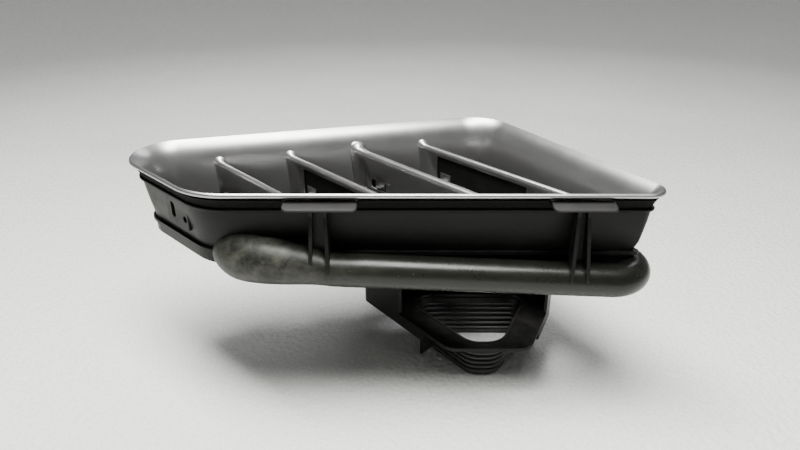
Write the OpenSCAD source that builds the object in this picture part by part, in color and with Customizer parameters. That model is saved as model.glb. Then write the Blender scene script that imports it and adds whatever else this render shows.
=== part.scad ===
// Louvred cowl vent: a silver louvre bezel in a black housing, on a shallow tray
// with a rolled edge tube, above a drop duct that ends in a ribbed rubber gaiter.
//
// Plan coordinates start at the sharp front-left corner of the rim: +X runs to the
// right along the front edge and +Y runs to the back. Heights start at the floor.
// Every node is then moved so that the origin is the bottom centre of the whole vent.

/* [Rim outline] */
// Front edge of the rim, between its sharp corners
front_length = 341; // [284:1:410]
// Left edge of the rim, between its sharp corners
left_length = 147; // [122:1:165]
// Direction of the left edge, in degrees from +X
left_angle = 135.5; // [132:0.5:139]
// Direction of the back edge, in degrees from +X
back_angle = 15; // [12:0.5:18]
// Direction of the right edge, in degrees from +X
right_angle = 120.5; // [117:0.5:124]
// Radius of the front-left corner
front_left_radius = 55; // [40:1:65]
// Radius of the front-right corner
front_right_radius = 14; // [10:1:18]
// Radius of the back-right corner
back_right_radius = 38; // [28:1:44]
// Radius of the back-left corner
back_left_radius = 36; // [28:1:42]

/* [Heights] */
// Height of the rim above the floor
total_height = 176; // [146:1:212]
// Depth of the bezel below the rim
bezel_depth = 54; // [50:1:60]
// Depth of the housing's lower edge below the rim
housing_depth = 50; // [44:1:54]
// Height of the drop duct's plate above the floor
plate_height = 36; // [30:1:46]

/* [Bezel] */
// Height of the rolled lip
lip_height = 3.5; // [3:0.1:4.5]
// How far the walls flare out towards the lip
flare = 11; // [8:0.5:13]
// Depth over which most of the flare happens
flare_depth = 9; // [7:0.5:11]
// Inward slope of the walls for each millimetre of depth
draft = 0.09; // [0.05:0.01:0.1]
// Wall thickness of the bezel
bezel_wall = 1.6; // [1.2:0.1:2]

/* [Vanes] */
// Number of vanes
vane_count = 4; // [3:1:4]
// Direction of the vanes, in degrees from +X
vane_angle = 132.3; // [129:0.1:136]
// Where the first vane's line meets the front edge, as a share of that edge
first_vane_share = 0.279; // [0.265:0.001:0.29]
// Distance between vanes along the front edge, as a share of that edge
vane_pitch_share = 0.2126; // [0.2:0.0001:0.22]
// Thickness of a vane
vane_width = 5.2; // [4.4:0.1:6.3]
// Depth of the vanes' tops below the rim
vane_drop = 18; // [16:0.5:22]
// Thickness of the black blade inside a vane
blade_width = 2.2; // [1.8:0.1:2.4]
// Length of the long windows in the second and fourth vanes
window_length = 100; // [60:1:110]
// Distance from the back wall to the windows
window_setback = 16; // [14:1:24]

/* [Tray and tube] */
// Inset of the tray's flange from the rim
flange_inset = 11; // [9:0.5:12]
// Thickness of the tray's flange
flange_thickness = 2.6; // [2:0.1:3.5]
// Outside radius of the edge tube
tube_radius = 12.4; // [10.3:0.1:14.9]
// Fall of the edge tube from left to right
tube_fall = 9; // [4:0.5:10]

/* [Posts and pads] */
// Plan position of the left post along the front edge
left_post_x = 87.5; // [80:0.5:95]
// Distance from the rim's sharp front-right corner to the right post
right_post_setback = 69.5; // [65:0.5:79]
// Width of the left pad
left_pad_width = 51.6; // [44:0.5:56]
// Width of the right pad
right_pad_width = 44; // [38:0.5:50]

/* [Outlet and gaiter] */
// Distance from the rim's sharp front-right corner to the outlet's, along the front edge
outlet_setback = 113.3; // [106:0.1:121]
// Plan distance from the rim's front edge to the outlet's front edge
outlet_y = 22.5; // [18:0.5:28]
// Length of the outlet's front edge, between its sharp corners
outlet_front = 27.8; // [27:0.1:36]
// Depth of the outlet from front to back
outlet_depth = 75.5; // [62:0.1:79]
// Number of ribs on the gaiter
rib_count = 5; // [4:1:6]
// How far the gaiter's foot can be pushed up
gaiter_travel = 5; // [3:0.5:6]

/* [Fixings] */
// Radius of the fixing hole in the housing's end boss
side_hole_radius = 2.6; // [2.1:0.1:3.2]
// Radius of the fixing hole in the rear stay's foot
stay_hole_radius = 3.2; // [2.6:0.1:3.9]
// Radius of the small screws' shanks
screw_radius = 2; // [1.6:0.1:2.4]

/* [Hidden] */

$fn = 48;
corner_steps = 7;       // straight facets in one rounded corner
gap = 0.3;              // clearance between pieces that slide or nest
contact = 0.01;         // overlap that merges two shapes of one solid
min_radius = 2;

// ---- Plan geometry ----

function dir(a) = [cos(a), sin(a)];
function side(a) = [-sin(a), cos(a)];
function cross2(u, v) = u.x * v.y - u.y * v.x;
// Where the line through p at angle a meets the line through q at angle b
function meet(p, a, q, b) = p + dir(a) * cross2(q - p, dir(b)) / cross2(dir(a), dir(b));
function heading(p, q) = atan2(q.y - p.y, q.x - p.x);
// A convex outline with each edge moved in by its own distance
function shrink(points, d) = let(n = len(points)) [
    for (i = [0:n - 1])
        let(
            j = (i + n - 1) % n,
            a = heading(points[j], points[i]),
            b = heading(points[i], points[(i + 1) % n])
        )
        meet(points[i] + d[j] * side(a), a, points[i] + d[i] * side(b), b)
];
// A convex outline with arcs of the given radii at its corners
function rounded(points, radii, steps = corner_steps) = let(n = len(points)) [
    for (i = [0:n - 1])
        let(
            a = heading(points[(i + n - 1) % n], points[i]),
            b = heading(points[i], points[(i + 1) % n]),
            turn = (b - a + 720) % 360,
            r = radii[i],
            centre = meet(points[i] + r * side(a), a, points[i] + r * side(b), b)
        )
        for (k = [0:steps]) centre + r * dir(a - 90 + turn * k / steps)
];
function lift(points, z) = [for (p = points) [p.x, p.y, z]];

front_left = [0, 0];
front_right = [front_length, 0];
back_left = left_length * dir(left_angle);
back_right = meet(back_left, back_angle, front_right, right_angle);
rim_corners = [front_left, front_right, back_right, back_left];
rim_radii = [front_left_radius, front_right_radius, back_right_radius, back_left_radius];
// The rim's outline, moved in by d all round
function rim(d) = rounded(shrink(rim_corners, [d, d, d, d]), [for (r = rim_radii) max(r - d, min_radius)]);

outer_rim = rim(0);
vane_start = front_length * first_vane_share;
vane_pitch = front_length * vane_pitch_share;
right_post_x = front_length - right_post_setback;
outlet_x = front_length - outlet_setback;

// The edge tube's centre line runs along the front edge and bends back at the right
tube_y = 0;
tube_right_inset = 6;
tube_bend = 20;
tube_corner = meet([0, tube_y], 0, front_right + tube_right_inset * side(right_angle), right_angle);
bend_start = tube_corner.x - tube_bend * tan(right_angle / 2);

middle_x = (min([for (p = outer_rim) p.x])
    + max(max([for (p = outer_rim) p.x]), bend_start + tube_bend + tube_radius)) / 2;
middle_y = (tube_y - tube_radius + max([for (p = outer_rim) p.y])) / 2;
module in_frame() translate([-middle_x, -middle_y, 0]) children();

// ---- Heights ----

lip_z = total_height;
vane_top_z = total_height - vane_drop;
bezel_bottom_z = total_height - bezel_depth;
shelf_z = total_height - housing_depth;         // top face of the tray's flange
ledge_depth = 14;                               // depth of the housing's ledge below the rim
ledge_z = total_height - ledge_depth;
floor_thickness = 2;
rail_thickness = 1.6;
rail_clearance = 3.9;   // between the carrier's rails and the bezel above them
// The tray is deep enough for its floor and the carrier's rails under the bezel
tray_depth = bezel_depth - housing_depth + rail_clearance + rail_thickness + floor_thickness;
tray_bottom_z = shelf_z - tray_depth;
plate_thickness = 3;
foot_thickness = 3;
foot_width = 5;

// ---- Solids made of stacked rings ----

// Faces between rings of n points each, and from the last ring back to the first if closed
function bands(count, n, closed) = [
    for (i = [0:count - (closed ? 1 : 2)])
        for (j = [0:n - 1])
            let(
                a = i * n + j,
                b = i * n + (j + 1) % n,
                c = (i + 1) % count * n + (j + 1) % n,
                d = (i + 1) % count * n + j
            )
            each [[a, d, c], [a, c, b]]
];
function flatten(rings) = [for (r = rings) each r];
// A hollow wall: its section is a closed loop, so the last ring joins the first
module ring_wall(rings)
    polyhedron(flatten(rings), bands(len(rings), len(rings[0]), true));
// A filled stack: the first ring closes its bottom and the last ring its top
module ring_stack(rings) {
    n = len(rings[0]);
    last = (len(rings) - 1) * n;
    polyhedron(flatten(rings), concat(
        [[for (j = [0:n - 1]) j]],
        [[for (j = [n - 1:-1:0]) last + j]],
        bands(len(rings), n, false)));
}
// A wall whose section is a list of [inset from the rim, height], clockwise
module rim_wall(section) ring_wall([for (s = section) lift(rim(s[0]), s[1])]);
module rim_plate(outer, inner, z, thickness)
    translate([0, 0, z])
        linear_extrude(thickness)
            difference() {
                polygon(rim(outer));
                polygon(rim(inner));
            }

// ---- Bezel ----

lip_radius = lip_height / 2;
// Inset of the bezel's inner face at a depth below the rim
function bowl_inset(d) = lip_radius + flare * (1 - exp(-d / flare_depth)) + draft * d;
bowl_depths = [0, 1.5, 3.5, 6, 9, 13, 18, 26, 40, bezel_depth];
skin_depths = [bezel_depth, 40, 26, 18, 13, 9, 5.5];
bowl_section = concat(
    [for (d = skin_depths) [bowl_inset(d) - bezel_wall, lip_z - d]],
    [for (a = [-90:-45:-225]) [lip_radius * (1 + cos(a)), lip_z - lip_radius * (1 - sin(a))]],
    [for (d = bowl_depths) [bowl_inset(d), lip_z - d]]);

// Puts children on vane k: X along the vane from the front edge, Y towards its front face
module on_vane(k)
    translate([vane_start + k * vane_pitch, 0, 0])
        rotate([0, 0, vane_angle])
            children();
function vane_foot(k) = [vane_start + k * vane_pitch, 0];
// Distance along vane k from the front edge to the inside of the back wall
function vane_reach(k) = norm(
    meet(vane_foot(k), vane_angle, back_left - bowl_inset(bezel_depth) * side(back_angle), back_angle)
    - vane_foot(k));

vane_length = front_length;
channel_width = blade_width + 2 * gap;
vane_wall = (vane_width - channel_width) / 2;
window_top_z = vane_top_z - 6;
window_bottom_z = bezel_bottom_z + 4;
clip_z = total_height - 43;
clip_setback = 26;
clip_slot = [19, 8];
slit_setback = 9;
slit_width = 1.2;
slit_height = 18;

// A vane is an upside-down channel with a round top
module vane_bar(k)
    on_vane(k)
        difference() {
            union() {
                translate([0, -vane_width / 2, bezel_bottom_z])
                    cube([vane_length, vane_width, vane_top_z - vane_width / 2 - bezel_bottom_z]);
                translate([0, 0, vane_top_z - vane_width / 2])
                    rotate([0, 90, 0])
                        cylinder(d = vane_width, h = vane_length);
            }
            translate([-1, -channel_width / 2, bezel_bottom_z - 1])
                cube([vane_length + 2, channel_width, vane_top_z - vane_wall * 2 - bezel_bottom_z + 1]);
        }

// The long opening in the front face of a vane that shows its blade
module vane_window(k)
    on_vane(k)
        translate([vane_reach(k) - window_setback - window_length, 0, window_bottom_z])
            cube([window_length, vane_width, window_top_z - window_bottom_z]);

// A narrow relief slit and the slot that a clip's tongue shows through
module clip_slots(k)
    on_vane(k) {
        translate([vane_reach(k) - slit_setback, 0, window_bottom_z])
            cube([slit_width, vane_width, slit_height]);
        translate([vane_reach(k) - clip_setback - clip_slot.x / 2, 0, clip_z - clip_slot.y / 2])
            cube([clip_slot.x, vane_width, clip_slot.y]);
    }

module louvre_bezel()
    color("silver")
        in_frame()
            difference() {
                union() {
                    rim_wall(bowl_section);
                    intersection() {
                        ring_stack([
                            for (d = [bezel_depth, 40, 26, 18, vane_drop - 4])
                                lift(rim(bowl_inset(d) - bezel_wall / 2), lip_z - d)
                        ]);
                        for (k = [0:vane_count - 1]) vane_bar(k);
                    }
                }
                for (k = [1:2:vane_count - 1]) vane_window(k);
                clip_slots(2);
            }

// ---- Gasket, housing and carrier ----

gasket_thickness = 2.2;
gasket_depths = [ledge_depth, 9, 6];
// The foam band under the lip, notched where the pads reach in
module lip_gasket()
    color("dimgray")
        in_frame()
            difference() {
                rim_wall(concat(
                    [for (d = gasket_depths) [bowl_inset(d) - bezel_wall - gap - gasket_thickness, lip_z - d]],
                    [for (i = [2:-1:0]) [bowl_inset(gasket_depths[i]) - bezel_wall - gap, lip_z - gasket_depths[i]]]));
                pad_notch(left_pad_x, left_pad_width);
                pad_notch(right_pad_x, right_pad_width);
            }
module pad_notch(x, width)
    translate([x - width / 2 - gap, pad_front, post_top_z - gap])
        cube([width + 2 * gap, pad_depth + gap + bezel_wall, pad_thickness + 2 * gap]);

housing_wall = 1.6;
housing_top_inset = 7.6;
housing_taper = 6;
ledge_overhang = 2;
ledge_thickness = 2;
// Inset of the housing's outer face at a depth below the rim
function housing_inset(d) =
    housing_top_inset + housing_taper * pow((d - ledge_depth) / (housing_depth - ledge_depth), 1.3);
wall_depths = [for (i = [0:5]) ledge_depth + ledge_thickness
    + (housing_depth - ledge_depth - ledge_thickness) * i / 5];

// The end boss stands on the left wall: X runs back along the wall and Y goes in
boss_start = 26;
boss_length = 31;
boss_face = housing_inset(housing_depth - 18) - 1;
boss_back = housing_inset(housing_depth - 8) + housing_wall - 2 * gap;
boss_z = shelf_z + 8;
boss_height = 24;
side_hole_x = boss_start + 4.5;
slot_x = boss_start + 18.5;
slot_size = [5.5, 13];
side_hole_z = shelf_z + 18;
module on_left_wall()
    rotate([0, 0, left_angle])
        mirror([0, 1, 0])
            children();

ear_size = 14;
ear_count = 4;
ear_thickness = 3;
ear_centre_inset = 8;
back_length = norm(back_right - back_left);
// Puts children at the screw ears along the back edge: Y goes in from the rim
module at_ears()
    for (i = [0:ear_count - 1])
        translate([back_left.x, back_left.y, 0])
            rotate([0, 0, back_angle])
                translate([back_length * (0.26 + 0.17 * i), -ear_centre_inset, 0])
                    children();

module ear_plate(z)
    at_ears()
        translate([-ear_size / 2, -ear_size / 2, z])
            cube([ear_size, ear_size, ear_thickness]);

// The boss reaches through the wall and stops short of the bezel behind it
module end_boss()
    difference() {
        on_left_wall()
            translate([boss_start, boss_face, boss_z])
                cube([boss_length, boss_back - boss_face, boss_height]);
        ring_stack([
            for (d = [housing_depth, 34, 26, 18, ledge_depth - 2])
                lift(rim(bowl_inset(d) - bezel_wall - gap), lip_z - d)
        ]);
    }

module housing_shell()
    color([0.1, 0.1, 0.1])
        in_frame()
            difference() {
                union() {
                    rim_wall(concat(
                        [for (i = [5:-1:0]) [housing_inset(wall_depths[i]), lip_z - wall_depths[i]]],
                        [[housing_top_inset - ledge_overhang, ledge_z - ledge_thickness]],
                        [[housing_top_inset - ledge_overhang, ledge_z]],
                        [[housing_top_inset + housing_wall, ledge_z]],
                        [for (d = wall_depths) [housing_inset(d) + housing_wall, lip_z - d]]));
                    end_boss();
                    difference() {
                        ear_plate(shelf_z);
                        translate([0, 0, shelf_z - 1])
                            linear_extrude(ear_thickness + 2)
                                polygon(rim(housing_inset(housing_depth - 5) + 1));
                    }
                }
                on_left_wall() {
                    translate([side_hole_x, boss_face - 1, side_hole_z])
                        rotate([-90, 0, 0])
                            cylinder(r = side_hole_radius, h = boss_back - boss_face + 2);
                    translate([slot_x, boss_face - 1, boss_z + 7])
                        cube([slot_size.x, boss_back - boss_face + 2, slot_size.y]);
                }
                at_ears()
                    translate([0, 0, shelf_z - 1])
                        cylinder(r = screw_radius + gap / 2, h = ear_thickness + 2);
            }

rail_width = 12;
carrier_z = tray_bottom_z + floor_thickness;
blade_top_z = vane_top_z - vane_wall * 2 - 1;
blade_front = 30;
blade_back = 10;
rail_ys = [62, 92];
rail_inset = 18;
module louvre_carrier()
    color([0.13, 0.13, 0.14])
        in_frame() {
            for (k = [0:vane_count - 1])
                on_vane(k)
                    translate([blade_front, -blade_width / 2, carrier_z])
                        cube([vane_reach(k) - blade_front - blade_back, blade_width, blade_top_z - carrier_z]);
            for (y = rail_ys)
                difference() {
                    intersection() {
                        translate([-front_length, y, carrier_z])
                            cube([2 * front_length, rail_width, rail_thickness]);
                        linear_extrude(total_height)
                            polygon(rim(rail_inset));
                    }
                    for (p = carrier_screw_places)
                        translate([p.x, p.y, carrier_z - 1])
                            cylinder(r = screw_radius + gap / 2, h = rail_thickness + 2);
                }
        }

// A point on rail i, at a distance to the right of vane k
function on_rail(i, k, across) =
    let(y = rail_ys[i] + rail_width / 2)
    [vane_start + k * vane_pitch + y / tan(vane_angle) + across, y];
carrier_screw_places = [
    on_rail(0, 0, -36),
    on_rail(0, 3, 11.5),
    on_rail(1, 0, -36),
    on_rail(1, 0, 36),
];
module carrier_screws()
    color("gray")
        in_frame()
            for (p = carrier_screw_places)
                translate([p.x, p.y, carrier_z + rail_thickness])
                    screw_down(rail_thickness + floor_thickness + 1);

clip_width = 12;
clip_height = 8;
clip_metal = 0.5;
// A leaf of spring steel folded over a blade, with a tongue that leans out
module spring_clip(k)
    on_vane(k)
        translate([vane_reach(k) - clip_setback, blade_width / 2, clip_z]) {
            translate([-clip_width / 2, 0, -clip_height / 2])
                cube([clip_width, clip_metal, clip_height]);
            translate([-clip_width / 4, clip_metal - contact, -clip_height / 4])
                cube([clip_width / 2, vane_wall + 1.6, clip_metal]);
        }
module spring_clips()
    color("gainsboro")
        in_frame()
            for (k = [1:vane_count - 1]) spring_clip(k);

// ---- Tray ----

pan_inset = flange_inset + 2;
pan_wall = 1.8;
drain_margin = 8;
// The drain opens in front of the carrier's rails
module drain_outline()
    intersection() {
        plate_shape(drain_margin);
        translate([-front_length, 0])
            square([2 * front_length, rail_ys[0] - 4]);
    }

module tray()
    color([0.12, 0.12, 0.12])
        in_frame()
            difference() {
                union() {
                    rim_plate(flange_inset, pan_inset + pan_wall, shelf_z - flange_thickness, flange_thickness);
                    rim_plate(pan_inset, pan_inset + pan_wall, tray_bottom_z, tray_depth);
                    translate([0, 0, tray_bottom_z])
                        linear_extrude(floor_thickness)
                            polygon(rim(pan_inset));
                    difference() {
                        ear_plate(shelf_z - ear_thickness);
                        translate([0, 0, tray_bottom_z])
                            linear_extrude(tray_depth + 1)
                                polygon(rim(pan_inset + 1));
                    }
                }
                translate([0, 0, tray_bottom_z - 1])
                    linear_extrude(floor_thickness + 2)
                        drain_outline();
                at_ears()
                    translate([0, 0, shelf_z - ear_thickness - 1])
                        cylinder(r = screw_radius + gap / 2, h = ear_thickness + 2);
                for (p = floor_screw_places)
                    translate([p.x, p.y, tray_bottom_z - 1])
                        cylinder(r = screw_radius + gap / 2, h = floor_thickness + 2);
            }

screw_head_radius = 4;
screw_head = 2.4;
nut_size = 9;
nut_thickness = 2;
// Head on top at z, shank going down
module screw_down(length) {
    cylinder(r = screw_head_radius, h = screw_head);
    translate([0, 0, -length])
        cylinder(r = screw_radius, h = length + contact);
}
module tray_screws()
    color("gray")
        in_frame()
            at_ears()
                translate([0, 0, shelf_z + ear_thickness])
                    screw_down(2 * ear_thickness + nut_thickness + 1);
module tray_nuts()
    color("darkgray")
        in_frame()
            at_ears()
                translate([0, 0, shelf_z - ear_thickness - nut_thickness])
                    difference() {
                        translate([-nut_size / 2, -nut_size / 2, 0])
                            cube([nut_size, nut_size, nut_thickness]);
                        translate([0, 0, -1])
                            cylinder(r = screw_radius + 0.02, h = nut_thickness + 2);
                    }

// ---- Edge tube ----

tube_left_z = shelf_z - 8.6;
tube_right_z = tube_left_z - tube_fall;
tube_return = 70;
// Centre and radius of the fat left end: [x, y, z above the tube, radius]
bulb = [
    [13, 27, 5, 5],
    [15, 24, 5.5, 11],
    [20, 18, 6, 15.5],
    [30, 11, 5.5, 18],
    [44, 6, 5, 17.5],
    [60, 3, 4.5, 16.3],
    [74, 1.4, 4, 15],
    [84, 0.7, 2.5, 13.6],
    [92, 0.2, 0.8, 12.6],
];
tube_straight_x = 98;
tube_slope = (tube_left_z - tube_right_z) / (bend_start - tube_straight_x);
function tube_z(x) = tube_left_z - tube_slope * (x - tube_straight_x);
bend_steps = 8;
tube_path = concat(
    [for (b = bulb) [b.x, b.y + tube_y, tube_left_z + b.z]],
    [for (x = [tube_straight_x, bend_start]) [x, tube_y, tube_z(x)]],
    [for (k = [1:bend_steps])
        let(p = [bend_start, tube_y + tube_bend] + tube_bend * dir(-90 + right_angle * k / bend_steps))
        [p.x, p.y, tube_right_z]],
    [let(p = tube_corner + (tube_bend * tan(right_angle / 2) + tube_return) * dir(right_angle))
        [p.x, p.y, tube_right_z]]);
tube_radii = [for (i = [0:len(tube_path) - 1]) i < len(bulb) ? bulb[i][3] : tube_radius];
tube_sides = 24;
// Plan heading of the path at point i
function path_heading(path, i) = heading(path[max(i - 1, 0)], path[min(i + 1, len(path) - 1)]);
// A ring of points round the path at point i, in the upright plane across it
function tube_ring(path, i, r) = [
    for (j = [0:tube_sides - 1])
        let(a = 360 * j / tube_sides, s = side(path_heading(path, i)))
        path[i] + r * [s.x * cos(a), s.y * cos(a), sin(a)]
];
module tube_solid(shrink_by)
    ring_stack([for (i = [0:len(tube_path) - 1]) tube_ring(tube_path, i, tube_radii[i] - shrink_by)]);

module edge_tube()
    color([0.2, 0.2, 0.18])
        in_frame()
            difference() {
                tube_solid(0);
                // Slot that grips the tray's flange
                translate([0, 0, shelf_z - flange_thickness - gap])
                    linear_extrude(flange_thickness + 20)
                        polygon(rim(flange_inset - gap));
                translate([0, 0, tray_bottom_z - gap - 20])
                    linear_extrude(20 + tray_depth)
                        polygon(rim(pan_inset - gap));
            }

// ---- Posts and pads ----

post_back = 4.5;        // just clear of the housing's ledge
pad_thickness = 3.6;
pad_top_z = total_height - lip_height - 2.4;
pad_front = -9;
pad_back = bowl_inset(lip_z - pad_top_z) - bezel_wall - 3 * gap;
pad_depth = pad_back - pad_front;
post_top_z = pad_top_z - pad_thickness;
left_pad_x = left_post_x + 1.5;
right_pad_x = right_post_x - 0.5;
rib_thickness = 2.4;
web_thickness = 2;
post_rise = 3;          // the ribs end this far above the tube's centre line
// Two ribs that widen towards the foot, joined by a web set back between them
module post(x, top_width, base_width, base_z)
    translate([x, 0, 0])
        difference() {
            union() {
                for (s = [-1, 1])
                    rotate([90, 0, 0])
                        translate([0, 0, -post_back])
                            linear_extrude(post_back + tube_radius)
                                polygon([
                                    [s * top_width / 2, post_top_z],
                                    [s * (top_width / 2 - rib_thickness), post_top_z],
                                    [s * (base_width / 2 - rib_thickness), base_z],
                                    [s * base_width / 2, base_z],
                                ]);
                rotate([90, 0, 0])
                    translate([0, 0, -post_back])
                        linear_extrude(web_thickness)
                            polygon([
                                [-top_width / 2, post_top_z],
                                [-base_width / 2, base_z],
                                [base_width / 2, base_z],
                                [top_width / 2, post_top_z],
                            ]);
            }
            // The ribs' sloping front edge
            rotate([90, 0, 90])
                translate([0, 0, -base_width])
                    linear_extrude(2 * base_width)
                        polygon([
                            [-3, post_top_z + 1],
                            [-3, post_top_z - 6],
                            [-13, base_z - 1],
                            [-30, base_z - 1],
                            [-30, post_top_z + 1],
                        ]);
            // The saddle that sits on the tube
            translate([-x, 0, 0]) tube_solid(-2 * contact);
        }
module left_post()
    color([0.16, 0.16, 0.15])
        in_frame()
            post(left_post_x, 12, 15, tube_z(left_post_x) + post_rise);
module right_post()
    color([0.16, 0.16, 0.15])
        in_frame()
            post(right_post_x, 9, 14, tube_z(right_post_x) + post_rise);

module pad(x, width, corner)
    translate([x - width / 2, pad_front, post_top_z])
        linear_extrude(pad_thickness)
            polygon(rounded(
                [[0, 0], [width, 0], [width, pad_depth], [0, pad_depth]],
                [corner, 2.5, 2, 2]));
module left_pad()
    color([0.3, 0.31, 0.3])
        in_frame()
            pad(left_pad_x, left_pad_width, 3);
module right_pad()
    color([0.3, 0.31, 0.3])
        in_frame()
            pad(right_pad_x, right_pad_width, 7);

// ---- Drop duct and outlet plate ----

outlet_left_angle = 128.6;
outlet_right_angle = 66;
outlet_right = [outlet_x, outlet_y];
outlet_left = [outlet_x - outlet_front, outlet_y];
outlet_corners = [
    outlet_left,
    outlet_right,
    meet(outlet_right, outlet_right_angle, [0, outlet_y + outlet_depth], 0),
    meet(outlet_left, outlet_left_angle, [0, outlet_y + outlet_depth], 0),
];
outlet_radii = [20, 20, 12, 16];
// Width of the plate outside the outlet: front, right, back, left
plate_margins = [7, 22, 17, 17.6];
plate_corners = shrink(outlet_corners, [for (m = plate_margins) -m]);
plate_radii = [14, 16, 20, 8];
function outlet(d) = rounded(shrink(outlet_corners, [d, d, d, d]), [for (r = outlet_radii) max(r - d, min_radius)]);
// The plate stays inside the rim's right edge
plate_rim_inset = 14;
module plate_shape(d)
    intersection() {
        polygon(plate(d));
        polygon(rim(plate_rim_inset + d));
    }
function plate(d) = rounded(shrink(plate_corners, [d, d, d, d]), [for (r = plate_radii) max(r - d, min_radius)]);

plate_bottom_z = plate_height - plate_thickness;
collar_wall = 1.6;
collar_depth = 6;
skirt_depth = 8;
skirt_wall = 2.4;
fin_depth = 22;
fin_reach = 15.5;
fin_front_y = 43;
left_side_angle = heading(plate_corners[3], plate_corners[0]) + 180;
fin_point = meet(plate_corners[0], left_side_angle, [0, fin_front_y], 0);

module outlet_plate()
    color([0.18, 0.18, 0.17])
        in_frame() {
            translate([0, 0, plate_bottom_z])
                linear_extrude(plate_thickness)
                    difference() {
                        plate_shape(0);
                        polygon(outlet(0));
                    }
            translate([0, 0, plate_bottom_z - collar_depth])
                linear_extrude(collar_depth + contact)
                    difference() {
                        polygon(outlet(-collar_wall));
                        polygon(outlet(0));
                    }
            // Skirt along the left and back edges, behind the fin
            translate([0, 0, plate_bottom_z - skirt_depth])
                linear_extrude(skirt_depth + contact)
                    intersection() {
                        difference() {
                            plate_shape(0);
                            plate_shape(skirt_wall);
                        }
                        translate([-front_length, fin_point.y])
                            square(2 * front_length);
                    }
            translate([fin_point.x, fin_point.y, plate_bottom_z - fin_depth])
                rotate([0, 0, left_side_angle - 90])
                    rotate([90, 0, 0])
                        linear_extrude(skirt_wall)
                            polygon([[0, 0], [fin_reach, 4], [fin_reach, fin_depth + contact], [0, fin_depth + contact]]);
        }

duct_wall = 2.4;
duct_top_z = tray_bottom_z;
duct_front_y = 66;
duct_flange = 10;
// The flange's middle line, with one screw on its left side and three along its back
flange_line = shrink(plate_corners, [for (m = plate_margins) -duct_flange / 2]);
function between(p, q, share) = p + (q - p) * share;
duct_screw_places = concat(
    [between(flange_line[3], flange_line[0], 0.38)],
    [for (share = [0.26, 0.48, 0.69]) between(flange_line[3], flange_line[2], share)]);

// Left, back and right walls from the plate up to the tray, open at the front
module drop_duct()
    color([0.14, 0.14, 0.14])
        in_frame()
            difference() {
                intersection() {
                    union() {
                        translate([0, 0, plate_height])
                            linear_extrude(duct_top_z - plate_height)
                                difference() {
                                    plate_shape(0);
                                    plate_shape(duct_wall);
                                }
                        translate([0, 0, duct_top_z - 3])
                            linear_extrude(3)
                                difference() {
                                    intersection() {
                                        polygon(plate(-duct_flange));
                                        polygon(rim(plate_rim_inset));
                                    }
                                    plate_shape(duct_wall);
                                }
                    }
                    translate([-front_length, duct_front_y, 0])
                        cube([2 * front_length, front_length, total_height]);
                }
                for (p = duct_screw_places)
                    translate([p.x, p.y, duct_top_z - 4])
                        cylinder(r = screw_radius + gap / 2, h = 5);
            }

module duct_screws()
    color("gray")
        in_frame()
            for (p = duct_screw_places)
                translate([p.x, p.y, tray_bottom_z + floor_thickness])
                    screw_down(floor_thickness + 4);

stay_centre = between(back_left, back_right, 0.69) - 23.4 * side(back_angle);
stay_size = 20;
stay_foot_thickness = 4;
stay_wall = 4;
stay_bore = stay_centre + [stay_wall / 2, stay_wall / 2];
floor_screw_places = concat(duct_screw_places, carrier_screw_places, [stay_bore]);
// A leg under the tray at the back: an angle with a drilled foot and a drilled top
module rear_stay()
    color([0.15, 0.15, 0.15])
        in_frame()
            difference() {
                translate([stay_centre.x - stay_size / 2, stay_centre.y - stay_size / 2, 0]) {
                    for (z = [0, tray_bottom_z - stay_foot_thickness])
                        translate([0, 0, z])
                            cube([stay_size, stay_size, stay_foot_thickness]);
                    cube([stay_size, stay_wall, tray_bottom_z]);
                    cube([stay_wall, stay_size, tray_bottom_z]);
                }
                translate([stay_bore.x, stay_bore.y, -1])
                    cylinder(r = stay_hole_radius, h = stay_foot_thickness + 2);
                translate([stay_bore.x, stay_bore.y, tray_bottom_z - stay_foot_thickness - 1])
                    cylinder(r = screw_radius + gap / 2, h = stay_foot_thickness + 2);
            }

module stay_screw()
    color("gray")
        in_frame()
            translate([stay_bore.x, stay_bore.y, tray_bottom_z + floor_thickness])
                screw_down(floor_thickness + stay_foot_thickness + 1);

// ---- Gaiter ----

cuff_top_z = plate_height + 0.5;
cuff_bottom_z = plate_bottom_z - collar_depth;
gaiter_wall = 1.8;
rib_out = gap;
rib_in = 2.8;
gaiter_taper = 2.5;
// Inset of the gaiter's outer face at fraction t of its ribbed length, from the bottom
function rib_inset(t) = (rib_out + rib_in) / 2 - (rib_in - rib_out) / 2 * cos(360 * rib_count * t)
    + gaiter_taper * (1 - t);
rib_points = 4 * rib_count;
gaiter_outer = concat(
    [for (i = [0:rib_points])
        [rib_inset(i / rib_points), foot_thickness + (cuff_bottom_z - foot_thickness) * i / rib_points]],
    [[rib_out, cuff_top_z]]);
module ribbed_gaiter()
    color([0.14, 0.14, 0.13])
        in_frame()
            ring_wall([
                for (s = gaiter_outer) lift(outlet(s[0]), s[1]),
                for (i = [len(gaiter_outer) - 1:-1:0])
                    lift(outlet(gaiter_outer[i][0] + gaiter_wall), gaiter_outer[i][1])
            ]);

band_width = 5;
band_metal = 1;
module gaiter_band()
    color("silver")
        in_frame()
            translate([0, 0, cuff_bottom_z + 1.5])
                linear_extrude(band_width)
                    difference() {
                        polygon(outlet(rib_out + gaiter_wall));
                        polygon(outlet(rib_out + gaiter_wall + band_metal));
                    }

module gaiter_foot()
    color([0.1, 0.1, 0.1])
        in_frame()
            linear_extrude(foot_thickness)
                difference() {
                    polygon(outlet(rib_inset(0)));
                    polygon(outlet(rib_inset(0) + foot_width));
                }

louvre_bezel();
lip_gasket();
housing_shell();
louvre_carrier();
spring_clips();
tray();
carrier_screws();
edge_tube();
left_post();
right_post();
left_pad();
right_pad();
tray_screws();
tray_nuts();
drop_duct();
outlet_plate();
duct_screws();
rear_stay();
stay_screw();
ribbed_gaiter();
gaiter_band();
gaiter_foot();
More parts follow.
